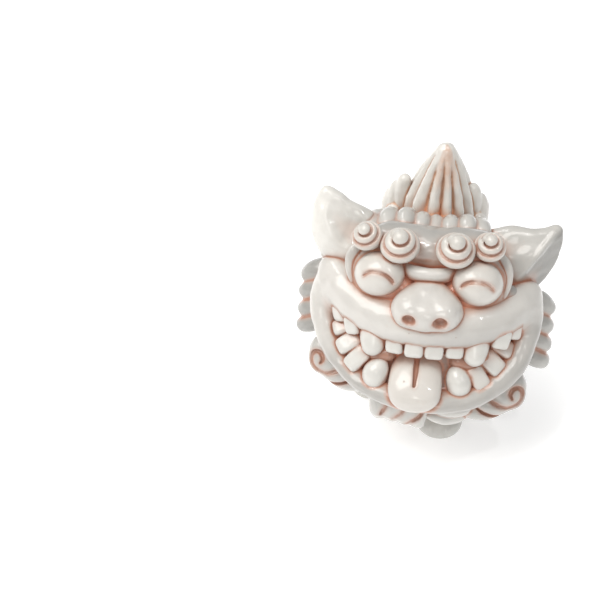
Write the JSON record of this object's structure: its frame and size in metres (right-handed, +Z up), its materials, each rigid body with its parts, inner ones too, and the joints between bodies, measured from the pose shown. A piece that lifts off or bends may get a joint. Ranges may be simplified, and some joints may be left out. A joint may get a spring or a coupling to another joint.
{
  "type": "shisa lion statue",
  "caption": "Small seated guardian lion (shisa) in off-white glazed pottery, laughing with an open toothed mouth, with brow curls, cupped ears, curled mane and an upright ribbed tail.",
  "frame": {"origin": "middle of the base on the table, under the centre of the bounding box", "axes": "+Z up; -Y the way the lion faces; +X the lion's own left, the viewer's right"},
  "size_m": [0.0544, 0.0508, 0.0605],
  "materials": {
    "glazed_body": "clear gloss glaze over off-white clay with a pink-brown wash in the recesses",
    "glazed_face": "clear gloss glaze over off-white clay with a pink-brown wash in the recesses",
    "glazed_mane": "clear gloss glaze over off-white clay with a pink-brown wash in the recesses",
    "glazed_tail": "clear gloss glaze over off-white clay with a pink-brown wash in the recesses",
    "glazed_curls": "clear gloss glaze over off-white clay with a pink-brown wash in the recesses",
    "glazed_ears": "clear gloss glaze over off-white clay with a pink-brown wash in the recesses",
    "glazed_legs": "clear gloss glaze over off-white clay with a pink-brown wash in the recesses",
    "glazed_teeth": "clear gloss glaze over off-white clay with a pink-brown wash in the recesses",
    "glazed_eyes": "clear gloss glaze over off-white clay with a pink-brown wash in the recesses",
    "glazed_tongue": "clear gloss glaze over off-white clay with a pink-brown wash in the recesses"
  },
  "bodies": {
    "root": {"body": "glazed_body", "head": "glazed_face", "upper_lip": "glazed_face", "lower_lip": "glazed_face", "tongue": "glazed_tongue", "nose": "glazed_face", "nose_bridge": "glazed_face", "left_eye": "glazed_eyes", "right_eye": "glazed_eyes", "left_eye_rim": "glazed_face", "right_eye_rim": "glazed_face", "left_inner_brow_curl": "glazed_curls", "right_inner_brow_curl": "glazed_curls", "left_outer_brow_curl": "glazed_curls", "right_outer_brow_curl": "glazed_curls", "left_ear": "glazed_ears", "right_ear": "glazed_ears", "upper_teeth": "glazed_teeth", "left_upper_fang": "glazed_teeth", "right_upper_fang": "glazed_teeth", "lower_teeth": "glazed_teeth", "left_lower_fang": "glazed_teeth", "right_lower_fang": "glazed_teeth", "crown_locks": "glazed_mane", "left_nape_locks": "glazed_mane", "right_nape_locks": "glazed_mane", "left_cheek_mane": "glazed_mane", "right_cheek_mane": "glazed_mane", "left_chin_curl": "glazed_mane", "right_chin_curl": "glazed_mane", "beard": "glazed_mane", "chest_lock": "glazed_mane", "left_front_leg": "glazed_legs", "right_front_leg": "glazed_legs", "left_hind_leg": "glazed_legs", "right_hind_leg": "glazed_legs", "tail": "glazed_tail", "left_tail_flames": "glazed_tail", "right_tail_flames": "glazed_tail"}
  },
  "joints": []
}
